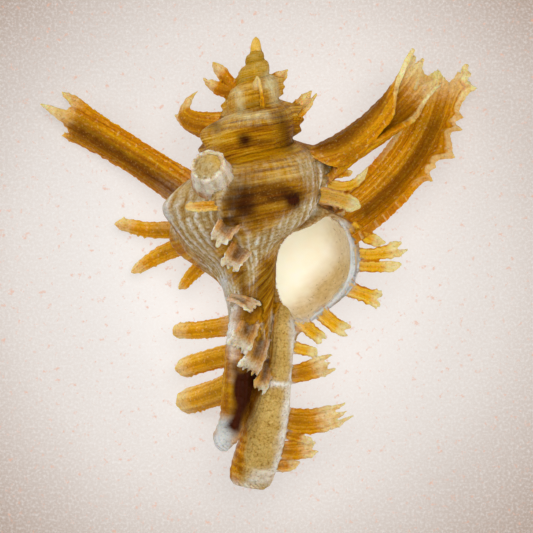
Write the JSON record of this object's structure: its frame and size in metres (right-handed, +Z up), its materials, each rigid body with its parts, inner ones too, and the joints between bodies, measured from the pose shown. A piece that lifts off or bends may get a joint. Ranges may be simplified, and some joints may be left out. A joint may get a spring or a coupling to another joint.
{
  "type": "murex shell",
  "caption": "Long-fronded murex sea shell: knobbed whorls, branching varix fronds, open mouth and a long siphonal canal, lying mouth up.",
  "frame": {"origin": "centre of the shell's bounding box at its lowest level, on the surface that it lies on", "axes": "+Y along the coil axis from the end of the siphonal canal to the apex; +Z up, out of the mouth; +X towards the outer lip"},
  "size_m": [0.0578, 0.062, 0.0283],
  "materials": {
    "shell": "satin, corded and chalky, with a glossy mouth"
  },
  "bodies": {
    "root": {"murex_shell": "shell"}
  },
  "joints": []
}
